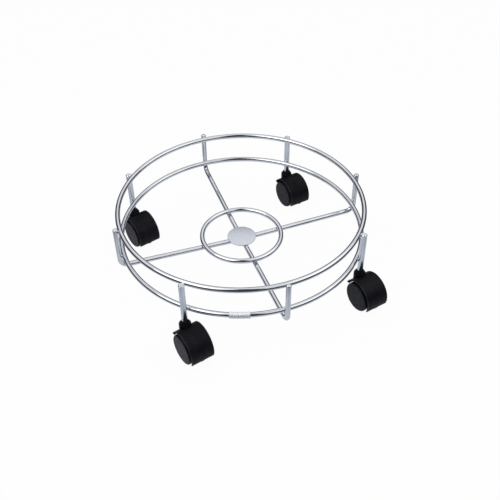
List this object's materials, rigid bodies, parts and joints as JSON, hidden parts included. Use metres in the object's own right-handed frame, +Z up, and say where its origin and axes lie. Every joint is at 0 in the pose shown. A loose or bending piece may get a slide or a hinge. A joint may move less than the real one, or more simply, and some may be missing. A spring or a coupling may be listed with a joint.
{
  "type": "plant caddy",
  "caption": "Round rolling plant caddy: a welded chrome wire basket frame with a crossed wire base on hooded swivel casters.",
  "frame": {"origin": "on the floor, under the centre of the rings", "axes": "+Z up; the crossed spokes run along X and Y, with the blank ring plate towards -Y"},
  "size_m": [0.3116, 0.3116, 0.1013],
  "materials": {
    "chrome_wire": "bright chrome plating on steel wire",
    "caster_stem": "chrome plating, slightly duller than the rings",
    "grip_spring": "spring steel",
    "axle_steel": "zinc plated steel",
    "hood_plastic": "black moulded nylon, fine grain",
    "wheel_plastic": "black moulded nylon, satin"
  },
  "bodies": {
    "frame": {"top_ring": "chrome_wire", "lower_ring": "chrome_wire", "inner_ring": "chrome_wire", "spoke_front": "chrome_wire", "spoke_right": "chrome_wire", "spoke_back": "chrome_wire", "spoke_left": "chrome_wire", "hub_disc": "chrome_wire", "ring_plate": "chrome_wire", "front_left_stem": "caster_stem", "front_right_stem": "caster_stem", "back_right_stem": "caster_stem", "back_left_stem": "caster_stem", "front_left_grip_ring": "grip_spring", "front_right_grip_ring": "grip_spring", "back_right_grip_ring": "grip_spring", "back_left_grip_ring": "grip_spring"},
    "front_left_caster": {"front_left_caster_housing": "hood_plastic", "front_left_axle": "axle_steel"},
    "front_left_left_wheel": {"front_left_wheel_left": "wheel_plastic"},
    "front_left_right_wheel": {"front_left_wheel_right": "wheel_plastic"},
    "front_right_caster": {"front_right_caster_housing": "hood_plastic", "front_right_axle": "axle_steel"},
    "front_right_left_wheel": {"front_right_wheel_left": "wheel_plastic"},
    "front_right_right_wheel": {"front_right_wheel_right": "wheel_plastic"},
    "back_right_caster": {"back_right_caster_housing": "hood_plastic", "back_right_axle": "axle_steel"},
    "back_right_left_wheel": {"back_right_wheel_left": "wheel_plastic"},
    "back_right_right_wheel": {"back_right_wheel_right": "wheel_plastic"},
    "back_left_caster": {"back_left_caster_housing": "hood_plastic", "back_left_axle": "axle_steel"},
    "back_left_left_wheel": {"back_left_wheel_left": "wheel_plastic"},
    "back_left_right_wheel": {"back_left_wheel_right": "wheel_plastic"}
  },
  "joints": [
    {"name": "front_left_swivel", "type": "hinge", "parent": "frame", "child": "front_left_caster", "pos_m": [-0.10572, -0.11102, 0.02325], "axis": [0, 0, 1], "continuous": true},
    {"name": "front_left_left_spin", "type": "hinge", "parent": "front_left_caster", "child": "front_left_left_wheel", "pos_m": [-0.11242, -0.12824, 0.01825], "axis": [0.9681, 0.2504, 0], "continuous": true},
    {"name": "front_left_right_spin", "type": "hinge", "parent": "front_left_caster", "child": "front_left_right_wheel", "pos_m": [-0.09151, -0.12283, 0.01825], "axis": [0.9681, 0.2504, 0], "continuous": true},
    {"name": "front_right_swivel", "type": "hinge", "parent": "frame", "child": "front_right_caster", "pos_m": [0.11212, -0.10455, 0.02325], "axis": [0, 0, 1], "continuous": true},
    {"name": "front_right_left_spin", "type": "hinge", "parent": "front_right_caster", "child": "front_right_left_wheel", "pos_m": [0.10467, -0.12147, 0.01825], "axis": [0.9781, 0.2079, 0], "continuous": true},
    {"name": "front_right_right_spin", "type": "hinge", "parent": "front_right_caster", "child": "front_right_right_wheel", "pos_m": [0.1258, -0.11698, 0.01825], "axis": [0.9781, 0.2079, 0], "continuous": true},
    {"name": "back_right_swivel", "type": "hinge", "parent": "frame", "child": "back_right_caster", "pos_m": [0.10494, 0.11175, 0.02325], "axis": [0, 0, 1], "continuous": true},
    {"name": "back_right_left_spin", "type": "hinge", "parent": "back_right_caster", "child": "back_right_left_wheel", "pos_m": [0.09706, 0.09503, 0.01825], "axis": [0.9833, 0.1822, 0], "continuous": true},
    {"name": "back_right_right_spin", "type": "hinge", "parent": "back_right_caster", "child": "back_right_right_wheel", "pos_m": [0.11829, 0.09897, 0.01825], "axis": [0.9833, 0.1822, 0], "continuous": true},
    {"name": "back_left_swivel", "type": "hinge", "parent": "frame", "child": "back_left_caster", "pos_m": [-0.1141, 0.10238, 0.02325], "axis": [0, 0, 1], "continuous": true},
    {"name": "back_left_left_spin", "type": "hinge", "parent": "back_left_caster", "child": "back_left_left_wheel", "pos_m": [-0.12005, 0.08488, 0.01825], "axis": [0.9563, 0.2924, 0], "continuous": true},
    {"name": "back_left_right_spin", "type": "hinge", "parent": "back_left_caster", "child": "back_left_right_wheel", "pos_m": [-0.09939, 0.09119, 0.01825], "axis": [0.9563, 0.2924, 0], "continuous": true}
  ]
}
